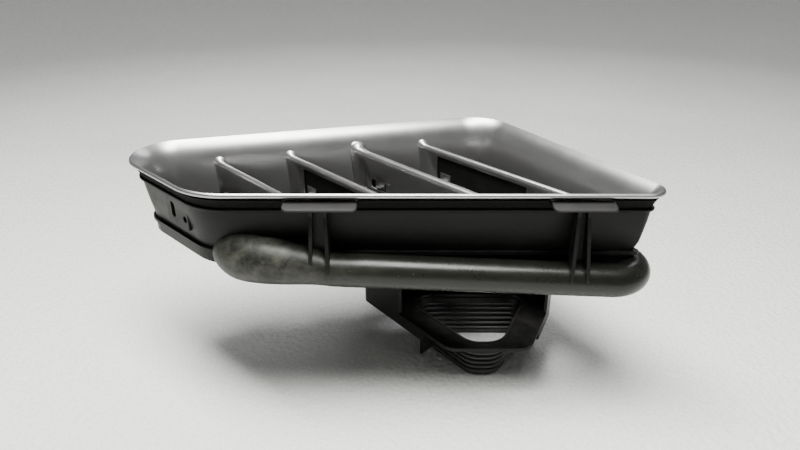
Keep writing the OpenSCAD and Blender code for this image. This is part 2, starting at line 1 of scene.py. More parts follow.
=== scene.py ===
"""Looks of the louvred cowl vent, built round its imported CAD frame.

Lengths are metres. Plan points are (x, y) with +Y to the back; a wall is a list of
(inset from the rim's outline, height) pairs that is swept round that outline.
"""

import math

import bmesh
import bpy
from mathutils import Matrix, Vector


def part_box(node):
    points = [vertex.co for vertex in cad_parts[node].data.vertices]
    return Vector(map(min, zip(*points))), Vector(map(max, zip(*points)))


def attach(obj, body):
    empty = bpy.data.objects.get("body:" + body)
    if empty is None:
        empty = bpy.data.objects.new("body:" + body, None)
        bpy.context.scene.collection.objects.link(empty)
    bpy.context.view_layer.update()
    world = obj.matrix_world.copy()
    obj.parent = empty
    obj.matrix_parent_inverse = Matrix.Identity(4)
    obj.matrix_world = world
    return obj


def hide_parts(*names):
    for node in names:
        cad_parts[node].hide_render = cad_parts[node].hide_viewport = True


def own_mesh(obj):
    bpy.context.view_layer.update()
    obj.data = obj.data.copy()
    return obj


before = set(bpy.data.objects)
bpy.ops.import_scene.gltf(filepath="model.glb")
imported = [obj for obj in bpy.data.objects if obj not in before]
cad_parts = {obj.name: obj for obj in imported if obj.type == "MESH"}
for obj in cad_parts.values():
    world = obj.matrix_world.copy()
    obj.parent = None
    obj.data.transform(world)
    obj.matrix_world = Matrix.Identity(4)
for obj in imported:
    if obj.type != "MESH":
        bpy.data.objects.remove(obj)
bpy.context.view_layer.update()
MM = 0.001

# ---- Places taken from the frame ----

bezel_low, bezel_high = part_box("louvre_bezel")
tube_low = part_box("edge_tube")[0]
housing_low, housing_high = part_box("housing_shell")
foot_low, foot_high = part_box("gaiter_foot")
sleeve_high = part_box("ribbed_gaiter")[1]
plate_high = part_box("outlet_plate")[1]
RIM_Z = bezel_high.z
BEZEL_BOTTOM = bezel_low.z
SHELF_Z = housing_low.z
LEDGE_Z = housing_high.z

# ---- Plan geometry ----

FRONT_LENGTH = 341 * MM
LEFT_LENGTH = 147 * MM
LEFT_ANGLE, BACK_ANGLE, RIGHT_ANGLE = (math.radians(a) for a in (135.5, 15, 120.5))
RIM_RADII = [55 * MM, 14 * MM, 38 * MM, 36 * MM]
MIN_RADIUS = 2 * MM
CORNER_STEPS = 20


def direction(angle):
    return Vector((math.cos(angle), math.sin(angle)))


def side(angle):
    """Points to the left of a heading."""
    return Vector((-math.sin(angle), math.cos(angle)))


def heading(p, q):
    return math.atan2(q.y - p.y, q.x - p.x)


def meet(p, a, q, b):
    """Where the line through p at angle a meets the line through q at angle b."""
    return p + direction(a) * ((q - p).cross(direction(b)) / direction(a).cross(direction(b)))


def shrink(points, inset):
    """A convex outline with every edge moved in by the inset."""
    moved = []
    for i, p in enumerate(points):
        a = heading(points[i - 1], p)
        b = heading(p, points[(i + 1) % len(points)])
        moved.append(meet(p + inset * side(a), a, p + inset * side(b), b))
    return moved


def rounded(points, radii, steps=CORNER_STEPS):
    """A convex outline with an arc at each corner."""
    made = []
    for i, p in enumerate(points):
        a = heading(points[i - 1], p)
        b = heading(p, points[(i + 1) % len(points)])
        turn = (b - a) % math.tau
        radius = radii[i]
        centre = meet(p + radius * side(a), a, p + radius * side(b), b)
        for k in range(steps + 1):
            made.append(centre + radius * direction(a - math.pi / 2 + turn * k / steps))
    return made


def rectangle(low, high):
    return [Vector(p) for p in (low, (high[0], low[1]), high, (low[0], high[1]))]


def inset_outline(corners, radii, inset):
    return rounded(shrink(corners, inset), [max(r - inset, MIN_RADIUS) for r in radii])


def rim_corners():
    """The rim's sharp corners, placed so that its outline fills the bezel's box."""
    front_left = Vector((0, 0))
    front_right = Vector((FRONT_LENGTH, 0))
    back_left = LEFT_LENGTH * direction(LEFT_ANGLE)
    back_right = meet(back_left, BACK_ANGLE, front_right, RIGHT_ANGLE)
    corners = [front_left, front_right, back_right, back_left]
    outline = rounded(corners, RIM_RADII)
    shift = Vector((bezel_low.x - min(p.x for p in outline), bezel_low.y - min(p.y for p in outline)))
    return [p + shift for p in corners]


RIM = rim_corners()
ORIGIN = RIM[0]


def rim(inset):
    return inset_outline(RIM, RIM_RADII, inset)


# ---- Mesh helpers ----


def mesh_object(name, vertices, faces):
    """An object whose doubled points are merged and whose faces all point outwards."""
    mesh = bpy.data.meshes.new(name)
    mesh.from_pydata(vertices, [], faces)
    bm = bmesh.new()
    bm.from_mesh(mesh)
    bmesh.ops.remove_doubles(bm, verts=bm.verts, dist=1e-6)
    bmesh.ops.recalc_face_normals(bm, faces=bm.faces)
    bm.to_mesh(mesh)
    bm.free()
    obj = bpy.data.objects.new(name, mesh)
    bpy.context.scene.collection.objects.link(obj)
    return obj


def piece(name, vertices, faces, material, body="vent", smooth_angle=40):
    """A smooth-shaded mesh object that rides on a body."""
    obj = mesh_object(name, vertices, faces)
    finish_piece(obj, material, smooth_angle)
    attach(obj, body)
    return obj


def finish_piece(obj, material, smooth_angle):
    obj.data.materials.clear()
    obj.data.materials.append(material)
    obj.data.shade_smooth()
    obj.data.set_sharp_from_angle(angle=math.radians(smooth_angle))


def bevelled(obj, width, segments=2):
    """Rounds an object's edges a little."""
    bevel = obj.modifiers.new("edges", "BEVEL")
    bevel.width = width
    bevel.segments = segments
    bevel.limit_method = "ANGLE"
    bevel.angle_limit = math.radians(35)
    bevel.harden_normals = True
    return obj


def loft(rings, closed_section=False, capped=False):
    """Vertices and faces of a surface through rings that all have as many points."""
    count = len(rings[0])
    vertices = [v for ring in rings for v in ring]
    faces = []
    for i in range(len(rings) if closed_section else len(rings) - 1):
        a, b = i * count, (i + 1) % len(rings) * count
        for j in range(count):
            k = (j + 1) % count
            faces.append((a + j, a + k, b + k, b + j))
    if capped:
        faces.append(tuple(range(count)))
        faces.append(tuple(range(len(vertices) - count, len(vertices))))
    return vertices, faces


def prism(outline, low, high):
    return loft([[(p.x, p.y, z) for p in outline] for z in (low, high)], capped=True)


def wall_round(outline, section):
    """A closed wall: its section is a loop of (inset, height)."""
    return loft([[(p.x, p.y, z) for p in outline(inset)] for inset, z in section], closed_section=True)


# ---- Materials ----


class Nodes:
    """Short names for the nodes that the materials share."""

    def __init__(self, name):
        self.material = bpy.data.materials.new(name)
        self.material.use_nodes = True
        self.tree = self.material.node_tree
        self.shader = self.tree.nodes["Principled BSDF"]
        self.point = self.tree.nodes.new("ShaderNodeTexCoord").outputs["Object"]

    def put(self, kind, inputs, **settings):
        """A new node with its settings, and each input linked or given its value."""
        node = self.tree.nodes.new(kind)
        for key, value in settings.items():
            setattr(node, key, value)
        for key, value in inputs.items():
            if isinstance(value, bpy.types.NodeSocket):
                self.tree.links.new(value, node.inputs[key])
            else:
                node.inputs[key].default_value = value
        return node

    def noise(self, scale, detail=4, roughness=0.6, stretch=(1, 1, 1)):
        placed = self.put("ShaderNodeMapping", {"Vector": self.point, "Scale": stretch})
        inputs = {"Vector": placed.outputs[0], "Scale": scale, "Detail": detail, "Roughness": roughness}
        return self.put("ShaderNodeTexNoise", inputs).outputs["Fac"]

    def cells(self, scale, feature="F1"):
        inputs = {"Vector": self.point, "Scale": scale}
        return self.put("ShaderNodeTexVoronoi", inputs, feature=feature).outputs["Distance"]

    def ramp(self, value, low, high, start=0.0, end=1.0):
        """Maps low..high of a value onto start..end."""
        inputs = {"Value": value, "From Min": low, "From Max": high, "To Min": start, "To Max": end}
        return self.put("ShaderNodeMapRange", inputs, clamp=True).outputs[0]

    def maths(self, operation, a, b):
        return self.put("ShaderNodeMath", {0: a, 1: b}, operation=operation).outputs[0]

    def mix(self, share, a, b):
        """A colour between a and b. Sockets 0, 6 and 7 are the Mix node's factor and its two colours."""
        return self.put("ShaderNodeMix", {0: share, 6: a, 7: b}, data_type="RGBA").outputs[2]

    def facing_up(self):
        """How far the surface faces up, from -1 to 1."""
        geometry = self.tree.nodes.new("ShaderNodeNewGeometry")
        return self.put("ShaderNodeSeparateXYZ", {0: geometry.outputs["Normal"]}).outputs["Z"]

    def along(self, axis):
        return self.put("ShaderNodeSeparateXYZ", {0: self.point}).outputs[axis]

    def distance(self):
        """Distance from the origin."""
        return self.put("ShaderNodeVectorMath", {0: self.point}, operation="LENGTH").outputs["Value"]

    def bump(self, height, distance, strength=1.0, under=None):
        inputs = {"Height": height, "Distance": distance, "Strength": strength}
        if under:
            inputs["Normal"] = under
        return self.put("ShaderNodeBump", inputs).outputs["Normal"]

    def set(self, **inputs):
        for key, value in inputs.items():
            socket = self.shader.inputs[key.replace("_", " ")]
            if isinstance(value, bpy.types.NodeSocket):
                self.tree.links.new(value, socket)
            else:
                socket.default_value = value
        return self.material


def grey(value, warm=0.0):
    """A grey, a little warmer in red than in blue."""
    return (value * (1 + warm), value, value * (1 - warm), 1)


def olive(value):
    """A grey with a hint of green and yellow."""
    return (value * 0.98, value, value * 0.8, 1)


def silver_paint():
    """Satin metallic paint with fine flake, faint orange peel and a few specks of dust."""
    n = Nodes("silver_paint")
    flake = n.noise(2600, detail=2)
    cloud = n.noise(18, detail=3)
    dust = n.ramp(n.cells(95), 0.035, 0.07, 1, 0)
    patchy = n.ramp(n.noise(22, detail=2), 0.56, 0.62)
    speck = n.maths("MULTIPLY", dust, patchy)
    paint = n.mix(n.ramp(cloud, 0.3, 0.7), grey(0.35, 0.008), grey(0.39, 0.004))
    paint = n.mix(n.ramp(flake, 0.35, 0.7, 0, 0.3), paint, grey(0.52))
    colour = n.mix(n.maths("MULTIPLY", speck, 0.5), paint, grey(0.2, 0.1))
    peel = n.bump(n.noise(420, detail=2), 0.00002)
    return n.set(
        Base_Color=colour,
        Metallic=0.96,
        Roughness=n.ramp(n.noise(60, detail=5), 0.25, 0.75, 0.3, 0.36),
        Normal=n.bump(flake, 0.00001, 0.5, peel),
    )


def moulded_plastic(name, shade, roughness, dusty):
    """Fine-grained black moulding with rubbed patches and dust on what faces up."""
    n = Nodes(name)
    grain_height = n.noise(1500, detail=3, roughness=0.7)
    rubbed = n.ramp(n.noise(38, detail=8, roughness=0.65), 0.52, 0.75)
    streaks = n.ramp(n.noise(30, detail=6, stretch=(1, 1, 6)), 0.5, 0.8)
    settled = n.ramp(n.facing_up(), 0.3, 1.0)
    dust = n.maths("MULTIPLY", settled, n.ramp(n.noise(120, detail=8), 0.4, 0.75))
    base = n.mix(rubbed, grey(shade, 0.01), grey(shade * 1.9, 0.03))
    base = n.mix(n.maths("MULTIPLY", streaks, 0.35), base, grey(shade * 2.6, 0.05))
    colour = n.mix(n.maths("MULTIPLY", dust, dusty), base, grey(0.1, 0.08))
    grain_rough = n.ramp(grain_height, 0.3, 0.7, -0.05, 0.05)
    rough = n.maths("ADD", grain_rough, n.ramp(rubbed, 0, 1, roughness, roughness + 0.14))
    wear = n.bump(n.noise(160, detail=6), 0.0001, 0.5)
    normal = n.bump(grain_height, 0.00008, 0.6, wear)
    return n.set(Base_Color=colour, Roughness=rough, Specular_IOR_Level=0.13, Normal=normal)


def satin_rubber():
    """Olive-black rubber: a satin sheen, long rub marks, and a dull scuffed left end."""
    n = Nodes("satin_rubber")
    scuff_start = n.ramp(n.along("X"), tube_low.x + 0.055, tube_low.x + 0.13, 1, 0)
    scuffs = n.ramp(n.noise(70, detail=9, roughness=0.72), 0.42, 0.66)
    worn = n.maths("MULTIPLY", scuff_start, scuffs)
    rubs = n.ramp(n.noise(55, detail=6, stretch=(0.12, 1, 1)), 0.5, 0.72)
    specks = n.ramp(n.cells(150), 0.03, 0.09, 1, 0)
    speckled = n.maths("MULTIPLY", specks, n.ramp(n.noise(40, detail=2), 0.5, 0.6))
    base = n.mix(n.noise(24, detail=5), olive(0.005), olive(0.01))
    base = n.mix(n.maths("MULTIPLY", rubs, 0.3), base, olive(0.03))
    base = n.mix(n.maths("MULTIPLY", worn, 0.7), base, olive(0.075))
    colour = n.mix(n.maths("MULTIPLY", speckled, 0.4), base, olive(0.2))
    dull = n.maths("MULTIPLY", scuff_start, 0.2)
    rough = n.maths("ADD", dull, n.ramp(n.noise(90, detail=7), 0.3, 0.7, 0.24, 0.34))
    pits = n.bump(n.noise(700, detail=4), 0.00008, 0.5)
    normal = n.bump(n.noise(45, detail=6), 0.0004, 0.35, pits)
    return n.set(Base_Color=colour, Roughness=rough, Specular_IOR_Level=0.3, Normal=normal)


def grey_pad():
    """Dense grey rubber with a chalky bloom, small nicks and darker handled patches."""
    n = Nodes("grey_pad")
    bloom = n.ramp(n.noise(60, detail=8, roughness=0.7), 0.35, 0.7)
    nicks = n.ramp(n.cells(240), 0.02, 0.12, 1, 0)
    base = n.mix(bloom, grey(0.012, 0.02), grey(0.022, 0.02))
    colour = n.mix(n.maths("MULTIPLY", nicks, 0.3), base, grey(0.1, 0.02))
    pores = n.bump(n.noise(1100, detail=3), 0.0001, 0.7)
    return n.set(
        Base_Color=colour,
        Roughness=n.ramp(bloom, 0, 1, 0.52, 0.7),
        Specular_IOR_Level=0.25,
        Normal=n.bump(n.noise(90, detail=5), 0.0003, 0.4, pores),
    )


def gaiter_rubber():
    """Matte rubber with dust in its folds and a faint sheen on its ribs."""
    n = Nodes("gaiter_rubber")
    dust = n.ramp(n.noise(110, detail=8, roughness=0.7), 0.45, 0.75)
    base = n.mix(n.noise(50, detail=5), grey(0.007, 0.04), grey(0.014, 0.06))
    colour = n.mix(n.maths("MULTIPLY", dust, 0.3), base, grey(0.04, 0.08))
    return n.set(
        Base_Color=colour,
        Roughness=n.ramp(dust, 0, 1, 0.4, 0.62),
        Normal=n.bump(n.noise(900, detail=3), 0.00008, 0.7),
    )


def black_foam():
    """Closed-cell foam: open pores on a dull black."""
    n = Nodes("black_foam")
    pores = n.cells(900)
    colour = n.mix(n.ramp(pores, 0.1, 0.5), grey(0.002), grey(0.006, 0.02))
    normal = n.bump(pores, 0.0004, 0.8)
    return n.set(Base_Color=colour, Roughness=0.9, Specular_IOR_Level=0.1, Normal=normal)


def plain_steel(name, shade, roughness):
    """Bright or plated steel with drawing lines and a few dull stains."""
    n = Nodes(name)
    lines = n.noise(900, detail=5, stretch=(1, 12, 1))
    stain = n.ramp(n.noise(160, detail=6), 0.5, 0.75)
    colour = n.mix(n.maths("MULTIPLY", stain, 0.45), grey(shade, 0.01), grey(shade * 0.55, 0.06))
    line_rough = n.ramp(lines, 0.3, 0.7, 0, 0.12)
    rough = n.maths("ADD", line_rough, n.ramp(stain, 0, 1, roughness, roughness + 0.2))
    return n.set(Base_Color=colour, Metallic=1.0, Roughness=rough, Normal=n.bump(lines, 0.00003, 0.6))


def pale_ground():
    """The pale, softly mottled sheet that the vent stands on, with painted light that makes it paler towards
    the front and painted shade that darkens it far from the vent.
    """
    n = Nodes("pale_ground")
    pebble = n.ramp(n.cells(230, "SMOOTH_F1"), 0.0, 0.8)
    cloud = n.noise(4, detail=4)
    tint = n.mix(n.ramp(cloud, 0.3, 0.7), (0.44, 0.445, 0.43, 1), (0.51, 0.51, 0.495, 1))
    # Painted light: the sheet is made paler towards the front, at low Y.
    tint_with_painted_light = n.mix(n.ramp(n.along("Y"), 0.5, -0.25), tint, (0.78, 0.78, 0.76, 1))
    fleck = n.ramp(n.noise(420, detail=5, roughness=0.7), 0.42, 0.64)
    flecks_and_painted_light = n.mix(n.maths("MULTIPLY", fleck, 0.6), tint_with_painted_light, (0.93, 0.93, 0.90, 1))
    # Painted shade: the sheet turns a darker grey far from the vent, up onto its curved wall.
    colour = n.mix(n.ramp(n.distance(), 0.9, 2.0), flecks_and_painted_light, grey(0.34))
    return n.set(Base_Color=colour, Roughness=0.6, Specular_IOR_Level=0.3, Normal=n.bump(pebble, 0.0016, 0.8))


SILVER = silver_paint()
BLACK = moulded_plastic("black_plastic", 0.0045, 0.42, dusty=0.1)
DARK = moulded_plastic("dark_plastic", 0.008, 0.4, dusty=0.12)
RUBBER = satin_rubber()
PAD = grey_pad()
GAITER = gaiter_rubber()
FOAM = black_foam()
BRIGHT = plain_steel("bright_steel", 0.45, 0.3)
ZINC = plain_steel("zinc_steel", 0.5, 0.34)
COATED = plain_steel("coated_steel", 0.05, 0.45)

# ---- Louvre bezel ----

LIP = 3.5 * MM
FLARE = 11 * MM
FLARE_DEPTH = 9 * MM
DRAFT = 0.09
BEZEL_WALL = 1.6 * MM
BEZEL_DEPTH = RIM_Z - BEZEL_BOTTOM


def bowl_inset(depth):
    """Inset of the bezel's inner face at a depth below the rim."""
    return LIP / 2 + FLARE * (1 - math.exp(-depth / FLARE_DEPTH)) + DRAFT * depth


def bowl_section():
    """Up the bezel's hidden skin, round its lip and down its inner face."""
    steps = 26
    depths = [BEZEL_DEPTH * (i / steps) ** 1.7 for i in range(steps + 1)]
    skin = [(bowl_inset(d) - BEZEL_WALL, RIM_Z - d) for d in reversed(depths) if d > 1.6 * LIP]
    lip = []
    for i in range(13):
        a = math.radians(-90 - 135 * i / 12)
        lip.append((LIP / 2 * (1 + math.cos(a)), RIM_Z - LIP / 2 * (1 - math.sin(a))))
    bowl = [(bowl_inset(d), RIM_Z - d) for d in depths]
    return skin + lip + bowl


VANE_ANGLE = math.radians(132.3)
VANE_STEP = direction(VANE_ANGLE)
VANE_SIDE = side(VANE_ANGLE)
VANE_COUNT = 4
FIRST_VANE = 0.279      # places along the front edge, as shares of its length
VANE_PITCH = 0.2126
VANE_HALF = 2.6 * MM
VANE_SHOULDER = 3.4 * MM
VANE_TOP = RIM_Z - 18 * MM
VANE_WALL = 1.1 * MM
WINDOW_TOP = VANE_TOP - 6 * MM
WINDOW_BOTTOM = BEZEL_BOTTOM + 4 * MM
CLIP_Z = RIM_Z - 43 * MM
BACK_FILLET = 8 * MM
FRONT_FILLET = 4 * MM
WINDOW_LENGTH = 100 * MM
WINDOW_SETBACK = 16 * MM        # from the foot of the back wall to a window's back end


def vane_foot(k):
    return ORIGIN + Vector((FRONT_LENGTH * (FIRST_VANE + VANE_PITCH * k), 0))


def vane_reach(k):
    """Distance along a vane from the rim's front edge to the foot of the back wall."""
    back = RIM[3] - bowl_inset(BEZEL_DEPTH) * side(BACK_ANGLE)
    return (meet(vane_foot(k), VANE_ANGLE, back, BACK_ANGLE) - vane_foot(k)).length


def vane_openings(k):
    """Openings in a vane's front face as (start, end, bottom, top)."""
    reach = vane_reach(k)
    window_end = reach - WINDOW_SETBACK
    if k % 2 == 1:
        return [(window_end - WINDOW_LENGTH, window_end, WINDOW_BOTTOM, WINDOW_TOP)]
    if k == 2:
        clip_end = reach - 16.5 * MM
        slit_start = reach - 9 * MM
        return [
            (clip_end - 19 * MM, clip_end, CLIP_Z - 4 * MM, CLIP_Z + 4 * MM),
            (slit_start, slit_start + 1.2 * MM, WINDOW_BOTTOM, WINDOW_BOTTOM + 18 * MM),
        ]
    return []


def wall_distance(k, across, height, back):
    """Distance along a vane to the middle of the bezel's front or back wall."""
    inset = bowl_inset(RIM_Z - height) - BEZEL_WALL / 2
    start = vane_foot(k) + VANE_SIDE * across
    if back:
        wall = meet(start, VANE_ANGLE, RIM[3] - inset * side(BACK_ANGLE), BACK_ANGLE)
    else:
        wall = meet(start, VANE_ANGLE, ORIGIN + inset * side(0), 0)
    return (wall - start).dot(VANE_STEP)


def fillet(distance, radius):
    """Rise of a quarter-circle fillet at a distance from the wall."""
    if distance >= radius:
        return 0
    return radius * (1 - math.sqrt(1 - (1 - distance / radius) ** 2))


def filleted(k, profile, step, radius, back):
    """A vane's section at a distance from a wall, spread where it runs into that wall."""
    rise = fillet(step, radius)
    made = []
    for across, height in profile:
        top = max(0, (height - VANE_TOP + 2 * VANE_SHOULDER) / (2 * VANE_SHOULDER))
        across *= 1 + 0.5 * rise / VANE_HALF
        height += 0.8 * rise * top
        reach = wall_distance(k, across, height, back)
        made.append((reach - step if back else reach + step, across, height))
    return made


def vane_profile(openings):
    """(across, height) up the front face, over the round top and down the back face."""
    heights = {BEZEL_BOTTOM, VANE_TOP - VANE_SHOULDER}
    heights |= {z for opening in openings for z in opening[2:]}
    levels = sorted(heights)
    arc = [
        (VANE_HALF * math.cos(a), VANE_TOP - VANE_SHOULDER * (1 - math.sin(a)))
        for a in (math.pi * i / 14 for i in range(1, 14))
    ]
    return [(VANE_HALF, z) for z in levels] + arc + [(-VANE_HALF, z) for z in reversed(levels)]


def vane(k):
    """One hollow louvre, filleted into the walls, with its openings left out."""
    openings = vane_openings(k)
    profile = vane_profile(openings)
    reach = vane_reach(k)
    front_steps = [FRONT_FILLET * t for t in (0, 0.06, 0.2, 0.45, 1)]
    back_steps = [BACK_FILLET * t for t in (1, 0.7, 0.45, 0.25, 0.12, 0.04, 0)]
    straight = sorted({s for opening in openings for s in opening[:2]} | {50 * MM, reach - 45 * MM})
    if straight[-1] > reach - WINDOW_SETBACK:
        # The slit lies where the fillet would begin, so this fillet starts nearer the wall
        back_steps = [step for step in back_steps if step < 0.5 * BACK_FILLET]
    stations = [filleted(k, profile, step, FRONT_FILLET, False) for step in front_steps]
    stations += [[(s, t, z) for t, z in profile] for s in straight]
    stations += [filleted(k, profile, step, BACK_FILLET, True) for step in back_steps]
    vertices = []
    for station in stations:
        for s, across, height in station:
            place = vane_foot(k) + VANE_STEP * s + VANE_SIDE * across
            vertices.append((place.x, place.y, height))
    count = len(profile)
    faces = []
    for i in range(len(stations) - 1):
        for j in range(count - 1):
            s = (stations[i][j][0] + stations[i + 1][j][0]) / 2
            z = (profile[j][1] + profile[j + 1][1]) / 2
            facing = profile[j][0] > 0 and profile[j + 1][0] > 0
            if facing and any(a < s < b and c < z < d for a, b, c, d in openings):
                continue
            a = i * count + j
            faces.append((a, a + 1, a + count + 1, a + count))
    return vertices, faces


def make_bezel():
    """The bowl and its four vanes, which one CAD node holds."""
    bowl = piece("louvre_bowl", *wall_round(rim, bowl_section()), SILVER)
    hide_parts("louvre_bezel")
    for k in range(VANE_COUNT):
        louvre = piece(f"louvre_vane_{k + 1}", *vane(k), SILVER)
        wall = louvre.modifiers.new("wall", "SOLIDIFY")
        wall.thickness = VANE_WALL
        wall.offset = -1


make_bezel()

# ---- Housing ----

HOUSING_WALL = 1.6 * MM
HOUSING_INSET = 7.6 * MM
HOUSING_TAPER = 6 * MM
LEDGE_OVERHANG = 2 * MM
LEDGE_THICKNESS = 2 * MM
BOSS_START = 26 * MM
BOSS_LENGTH = 31 * MM
BOSS_Z = SHELF_Z + 8 * MM
BOSS_HEIGHT = 24 * MM
HOLE_RADIUS = 2.6 * MM
HOLE_X = BOSS_START + 4.5 * MM
HOLE_Z = SHELF_Z + 18 * MM
SLOT_X = BOSS_START + 18.5 * MM
SLOT_Z = BOSS_Z + 7 * MM
SLOT_WIDTH = 5.5 * MM
SLOT_HEIGHT = 13 * MM
EAR_SHARES = [0.26, 0.43, 0.6, 0.77]
EAR = 14 * MM
EAR_THICKNESS = 3 * MM
EAR_INSET = 8 * MM


def housing_inset(z):
    """Inset of the housing's outer face at a height."""
    t = max(0, (LEDGE_Z - z) / (LEDGE_Z - SHELF_Z))
    return HOUSING_INSET + HOUSING_TAPER * t**1.3


def housing_section():
    wall_top = LEDGE_Z - LEDGE_THICKNESS
    heights = [SHELF_Z + (wall_top - SHELF_Z) * i / 14 for i in range(15)]
    lip = HOUSING_INSET - LEDGE_OVERHANG
    round_off = 0.5 * MM
    outer = [(housing_inset(z), z) for z in heights]
    ledge = [
        (lip + round_off, wall_top), (lip, wall_top + round_off),
        (lip, LEDGE_Z - round_off), (lip + round_off, LEDGE_Z),
        (HOUSING_INSET + HOUSING_WALL, LEDGE_Z),
    ]
    inner = [(housing_inset(z) + HOUSING_WALL, z) for z in reversed(heights)]
    return outer + ledge + inner


def on_left_wall(along, inset, z):
    """A point on the left wall: along it from the front-left corner, in from the rim, and up."""
    p = ORIGIN + along * direction(LEFT_ANGLE) - inset * side(LEFT_ANGLE)
    return (p.x, p.y, z)


def left_wall_block(low, high, radius, face, depth):
    """A block with rounded corners on the left wall, from its face inwards."""
    outline = rounded(rectangle(low, high), [radius] * 4, 8)
    middle = (Vector(low) + Vector(high)) / 2
    chamfer = 0.6 * MM
    rings = []
    for inset, margin in ((face, chamfer), (face + chamfer, 0), (face + depth, 0)):
        ring = []
        for p in outline:
            q = p - (p - middle).normalized() * margin
            ring.append(on_left_wall(q.x, inset, q.y))
        rings.append(ring)
    return loft(rings, capped=True)


def combine(obj, vertices, faces, operation):
    """Adds a closed solid to an object's mesh, or takes it away."""
    other = mesh_object("scratch", vertices, faces)
    step = obj.modifiers.new("step", "BOOLEAN")
    step.object = other
    step.operation = operation
    step.solver = "EXACT"
    bpy.context.view_layer.update()
    shaped = bpy.data.meshes.new_from_object(obj.evaluated_get(bpy.context.evaluated_depsgraph_get()))
    obj.modifiers.remove(step)
    obj.data = shaped
    bpy.data.objects.remove(other)


def make_housing():
    """The black wall with its end boss, slot and fixing hole."""
    shell = piece("housing_wall", *wall_round(rim, housing_section()), BLACK)
    face = housing_inset(HOLE_Z) - 1 * MM
    cut_face, cut_depth = face - 3 * MM, 12 * MM
    boss_low, boss_high = (BOSS_START, BOSS_Z), (BOSS_START + BOSS_LENGTH, BOSS_Z + BOSS_HEIGHT)
    slot_low, slot_high = (SLOT_X, SLOT_Z), (SLOT_X + SLOT_WIDTH, SLOT_Z + SLOT_HEIGHT)
    hole_low = (HOLE_X - HOLE_RADIUS, HOLE_Z - HOLE_RADIUS)
    hole_high = (HOLE_X + HOLE_RADIUS, HOLE_Z + HOLE_RADIUS)
    boss = left_wall_block(boss_low, boss_high, 5 * MM, face, 2.6 * MM)
    slot = left_wall_block(slot_low, slot_high, 2.4 * MM, cut_face, cut_depth)
    hole = left_wall_block(hole_low, hole_high, 0.999 * HOLE_RADIUS, cut_face, cut_depth)
    combine(shell, *boss, "UNION")
    combine(shell, *slot, "DIFFERENCE")
    combine(shell, *hole, "DIFFERENCE")
    finish_piece(shell, BLACK, 35)
    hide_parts("housing_shell")


def make_ears():
    """The housing's screw ears along its back edge."""
    across, out = direction(BACK_ANGLE), side(BACK_ANGLE)
    length = (RIM[2] - RIM[3]).length
    for i, share in enumerate(EAR_SHARES):
        middle = RIM[3] + across * length * share - out * EAR_INSET
        square = rectangle((-EAR / 2, -EAR / 2), (EAR / 2, EAR / 2))
        corners = [middle + across * p.x + out * p.y for p in square]
        outline = rounded(corners, [1 * MM, 1 * MM, 4 * MM, 4 * MM], 6)
        solid = prism(outline, SHELF_Z, SHELF_Z + EAR_THICKNESS)
        ear = piece(f"housing_ear_{i + 1}", *solid, BLACK, smooth_angle=30)
        bevelled(ear, 0.4 * MM)


make_housing()
make_ears()

# ---- Pads under the lip ----

PAD_DIP = 1.9 * MM              # how far the top falls towards the front
PAD_SEAT = 6 * MM               # flat part of the top, under the lip


def make_pad(node, name):
    """A grey rubber pad with soft edges whose top dips towards its front."""
    low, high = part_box(node)
    corners = rectangle((low.x, low.y), (high.x, high.y))
    radii = [5 * MM, 3.5 * MM, 2 * MM, 2 * MM]
    slope = high.y - low.y - PAD_SEAT
    soft = 0.9 * MM
    # (inset, height): three levels up from the bottom face, then three up to the top face
    levels = [(soft, 0), (0.25 * soft, 0.3 * soft), (0, soft)]
    levels += [(inset, -height) for inset, height in reversed(levels)]
    rings = []
    for i, (inset, shift) in enumerate(levels):
        ring = []
        for p in inset_outline(corners, radii, inset):
            dip = PAD_DIP * min(1, max(0, (high.y - PAD_SEAT - p.y) / slope))
            base = low.z if i < 3 else high.z - dip
            ring.append((p.x, p.y, base + shift))
        rings.append(ring)
    pad = piece(name, *loft(rings, capped=True), PAD, smooth_angle=60)
    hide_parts(node)


make_pad("left_pad", "left_lip_pad")
make_pad("right_pad", "right_lip_pad")

# ---- Edge tube ----

TUBE_RADIUS = 12.4 * MM
TUBE_FALL = 9 * MM
TUBE_LEFT_Z = SHELF_Z - 8.6 * MM
TUBE_BEND = 20 * MM
TUBE_RETURN = 70 * MM
STRAIGHT_X = 98 * MM
FLANGE_INSET = 11 * MM
FLANGE_GAP = 0.3 * MM
# Centre, height above the straight tube and radius of the fat left end, in millimetres
BULB = [
    (13, 27, 5, 4), (15, 24, 5.5, 11), (20, 18, 6, 15.5), (30, 11, 5.5, 18), (44, 6, 5, 17.5),
    (60, 3, 4.5, 16.3), (74, 1.4, 4, 15), (84, 0.7, 2.5, 13.6), (92, 0.2, 0.8, 12.6),
]


def tube_path():
    """(x, y, z, radius) along the tube's centre line, from its left end."""
    corner = meet(ORIGIN, 0, RIM[1] + 6 * MM * side(RIGHT_ANGLE), RIGHT_ANGLE)
    tangent = TUBE_BEND * math.tan(RIGHT_ANGLE / 2)
    bend_x = corner.x - tangent
    start_x = ORIGIN.x + STRAIGHT_X
    right_z = TUBE_LEFT_Z - TUBE_FALL
    path = [
        (ORIGIN.x + x * MM, ORIGIN.y + y * MM, TUBE_LEFT_Z + z * MM, r * MM)
        for x, y, z, r in BULB
    ]
    for i in range(9):
        t = i / 8
        path.append((start_x + (bend_x - start_x) * t, ORIGIN.y, TUBE_LEFT_Z - TUBE_FALL * t, TUBE_RADIUS))
    for k in range(1, 13):
        turned = RIGHT_ANGLE * k / 12
        p = Vector((bend_x, ORIGIN.y + TUBE_BEND)) + TUBE_BEND * direction(turned - math.pi / 2)
        path.append((p.x, p.y, right_z, TUBE_RADIUS))
    end = corner + (tangent + TUBE_RETURN) * direction(RIGHT_ANGLE)
    path.append((end.x, end.y, right_z, TUBE_RADIUS))
    return path


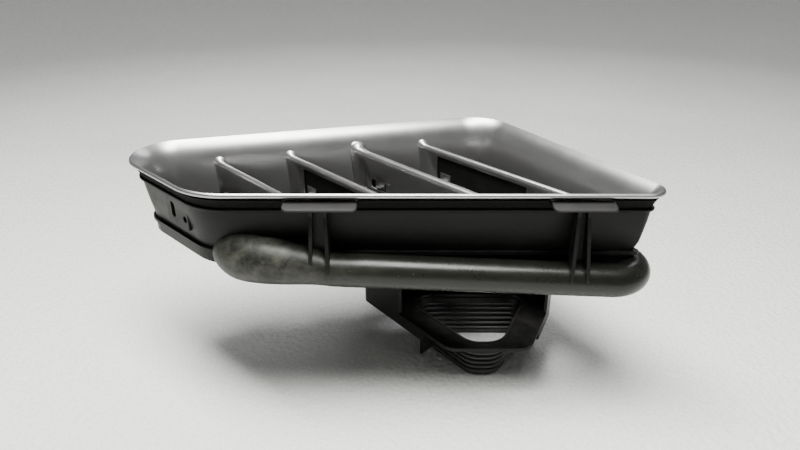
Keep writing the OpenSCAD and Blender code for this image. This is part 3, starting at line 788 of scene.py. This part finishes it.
def smoothed(path, count, steps=4):
    """A Catmull-Rom curve through the path's first points, and the rest as they are."""
    made = []
    for i in range(count):
        p0, p1, p2, p3 = (Vector(path[max(j, 0)]) for j in range(i - 1, i + 3))
        for k in range(steps):
            t = k / steps
            bend = (p2 - p0) * t
            bend += (2 * p0 - 5 * p1 + 4 * p2 - p3) * t**2
            bend += (3 * p1 - p0 - 3 * p2 + p3) * t**3
            made.append(p1 + bend / 2)
    return made + [Vector(p) for p in path[count:]]


def tube_rings(path, sides=48):
    """Upright rings across the path."""
    rings = []
    for i, p in enumerate(path):
        before, after = path[max(i - 1, 0)], path[min(i + 1, len(path) - 1)]
        across = side(math.atan2(after[1] - before[1], after[0] - before[0]))
        ring = []
        for j in range(sides):
            a = math.tau * j / sides
            out = p[3] * math.cos(a) * across
            ring.append((p[0] + out.x, p[1] + out.y, p[2] + p[3] * math.sin(a)))
        rings.append(ring)
    return rings


def make_tube():
    """The rolled rubber edge, cut away where the tray's flange and pan are."""
    rings = tube_rings(smoothed(tube_path(), len(BULB)))
    tube = piece("rolled_edge_tube", *loft(rings, capped=True), RUBBER)
    above = prism(rim(FLANGE_INSET - FLANGE_GAP), SHELF_Z - 2.9 * MM, SHELF_Z + 30 * MM)
    inside = prism(rim(FLANGE_INSET + 1.7 * MM), SHELF_Z - 40 * MM, SHELF_Z)
    combine(tube, *above, "DIFFERENCE")
    combine(tube, *inside, "DIFFERENCE")
    finish_piece(tube, RUBBER, 40)
    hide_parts("edge_tube")


make_tube()

# ---- Gaiter and its foot ----

RIBS = 5
RIB_OUT = 0.3 * MM
RIB_IN = 2.8 * MM
TAPER = 2.5 * MM
SLEEVE_WALL = 1.8 * MM
FOOT_WIDTH = 5 * MM
OUTLET_RADII = [20 * MM, 20 * MM, 12 * MM, 16 * MM]
OUTLET_SETBACK = 113.3 * MM     # of its front right corner from the rim's
OUTLET_Y = 22.5 * MM
OUTLET_FRONT = 27.8 * MM
OUTLET_DEPTH = 75.5 * MM
OUTLET_LEFT_ANGLE, OUTLET_RIGHT_ANGLE = math.radians(128.6), math.radians(66)
CUFF_BOTTOM = plate_high.z - 9 * MM


def outlet_corners():
    right = ORIGIN + Vector((FRONT_LENGTH - OUTLET_SETBACK, OUTLET_Y))
    left = right - Vector((OUTLET_FRONT, 0))
    back = Vector((0, right.y + OUTLET_DEPTH))
    back_right = meet(right, OUTLET_RIGHT_ANGLE, back, 0)
    back_left = meet(left, OUTLET_LEFT_ANGLE, back, 0)
    return [left, right, back_right, back_left]


OUTLET = outlet_corners()


def outlet(inset):
    return inset_outline(OUTLET, OUTLET_RADII, inset)


def rib_inset(t):
    """Inset of the sleeve's outer face at share t of its ribbed length, from its foot."""
    crest = abs(math.sin(math.pi * RIBS * t)) ** 0.7
    return RIB_IN - (RIB_IN - RIB_OUT) * crest + TAPER * (1 - t)


def make_gaiter():
    """The ribbed sleeve between its foot and its cuff."""
    steps = 12 * RIBS
    bottom = foot_high.z
    outer = [
        (rib_inset(i / steps), bottom + (CUFF_BOTTOM - bottom) * i / steps)
        for i in range(steps + 1)
    ]
    outer += [(RIB_OUT + 0.2 * MM, CUFF_BOTTOM + 1 * MM), (RIB_OUT, CUFF_BOTTOM + 2 * MM)]
    outer += [(RIB_OUT, sleeve_high.z)]
    inner = [(inset + SLEEVE_WALL, z) for inset, z in reversed(outer)]
    sleeve = piece("gaiter_sleeve", *wall_round(outlet, outer + inner), GAITER, smooth_angle=70)
    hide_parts("ribbed_gaiter")
    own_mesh(sleeve)


def make_foot():
    """The bead at the sleeve's lower end, round on its outer side."""
    outer = RIB_IN + TAPER - 0.2 * MM
    inner = outer + FOOT_WIDTH
    low, high = foot_low.z, foot_high.z
    bead = (high - low) / 2
    edge = 0.5 * MM
    section = []
    for i in range(13):
        a = math.pi * i / 12
        section.append((outer + bead * (1 - math.sin(a)) * 0.6, high - bead * (1 - math.cos(a))))
    section += [(inner - edge, low), (inner, low + edge), (inner, high - edge), (inner - edge, high)]
    foot = piece("gaiter_bead", *wall_round(outlet, section), GAITER, body="gaiter_foot", smooth_angle=50)
    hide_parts("gaiter_foot")


make_gaiter()
make_foot()

# ---- Pieces kept from the CAD frame ----

# Each node's material and the width of its edge bevel in millimetres
KEPT = {
    "lip_gasket": (FOAM, 0.4),
    "louvre_carrier": (DARK, 0.2),
    "spring_clips": (BRIGHT, 0.12),
    "tray": (DARK, 0.4),
    "carrier_screws": (ZINC, 0.4),
    "left_post": (DARK, 0.5),
    "right_post": (DARK, 0.5),
    "tray_screws": (ZINC, 0.4),
    "tray_nuts": (ZINC, 0.3),
    "drop_duct": (DARK, 0.4),
    "outlet_plate": (DARK, 0.6),
    "duct_screws": (ZINC, 0.4),
    "rear_stay": (DARK, 0.5),
    "stay_screw": (ZINC, 0.4),
    "gaiter_band": (COATED, 0.15),
}


def dress_kept():
    for name, (material, edge) in KEPT.items():
        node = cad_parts[name]
        node.data.materials.clear()
        node.data.materials.append(material)
        node.data.shade_smooth()
        node.data.set_sharp_from_angle(angle=math.radians(25))
        bevelled(node, edge * MM)


dress_kept()

# ---- Floor, light and camera ----


def make_floor():
    """A round sheet that lies flat under the vent and curves up into a wall far round it."""
    flat, bend, top, sides = 1.5, 0.8, 2.4, 72
    profile = [(0, 0), (0.4 * flat, 0)]
    for i in range(17):
        a = math.pi / 2 * i / 16
        profile.append((flat + bend * math.sin(a), bend * (1 - math.cos(a))))
    profile.append((flat + bend, top))
    around = [direction(math.tau * i / sides) for i in range(sides)]
    rings = [[(r * d.x, r * d.y, z) for d in around] for r, z in profile]
    floor = mesh_object("floor", *loft(rings))
    floor.data.materials.append(pale_ground())
    floor.data.shade_smooth()


def area_light(name, place, target, size, power, colour=(1, 1, 1)):
    data = bpy.data.lights.new(name, "AREA")
    data.shape = "RECTANGLE"
    data.size, data.size_y = size
    data.energy = power
    data.color = colour
    light = bpy.data.objects.new(name, data)
    light.location = place
    light.rotation_euler = (Vector(target) - Vector(place)).to_track_quat("-Z", "Y").to_euler()
    bpy.context.scene.collection.objects.link(light)


def make_light():
    """A sky that is pale overhead and dark below, a ceiling panel and a weak window behind."""
    world = bpy.data.worlds.new("studio")
    bpy.context.scene.world = world
    world.use_nodes = True
    nodes, links = world.node_tree.nodes, world.node_tree.links
    background = nodes["Background"]
    background.inputs["Strength"].default_value = 0.36
    way = nodes.new("ShaderNodeSeparateXYZ")
    sky = nodes.new("ShaderNodeValToRGB")
    sky.color_ramp.elements[0].position = 0.25
    sky.color_ramp.elements[0].color = (0.03, 0.03, 0.03, 1)
    sky.color_ramp.elements[1].position = 0.85
    sky.color_ramp.elements[1].color = (0.97, 0.98, 0.96, 1)
    links.new(nodes.new("ShaderNodeTexCoord").outputs["Generated"], way.inputs[0])
    links.new(way.outputs["Z"], sky.inputs["Fac"])
    links.new(sky.outputs["Color"], background.inputs["Color"])
    area_light("ceiling", (-0.12, -0.12, 1.3), (-0.02, 0, 0.1), (1.2, 0.42), 60, (1.0, 1.0, 0.97))
    area_light("back_window", (0.6, 1.1, 1.2), (0, 0, 0.1), (1.0, 0.4), 7, (0.95, 0.97, 1.0))


def make_camera():
    """In front of the rim's front edge, looking level along +Y and tipped down."""
    data = bpy.data.cameras.new("camera")
    data.sensor_width = 36
    data.lens = 29.25
    camera = bpy.data.objects.new("camera", data)
    middle = (bezel_low.x + bezel_high.x) / 2
    camera.location = (middle + 0.0143, bezel_low.y - 0.408, RIM_Z + 0.1748)
    camera.rotation_euler = (math.radians(90 - 25.85), 0, 0)
    bpy.context.scene.collection.objects.link(camera)
    bpy.context.scene.camera = camera


make_floor()
make_light()
make_camera()
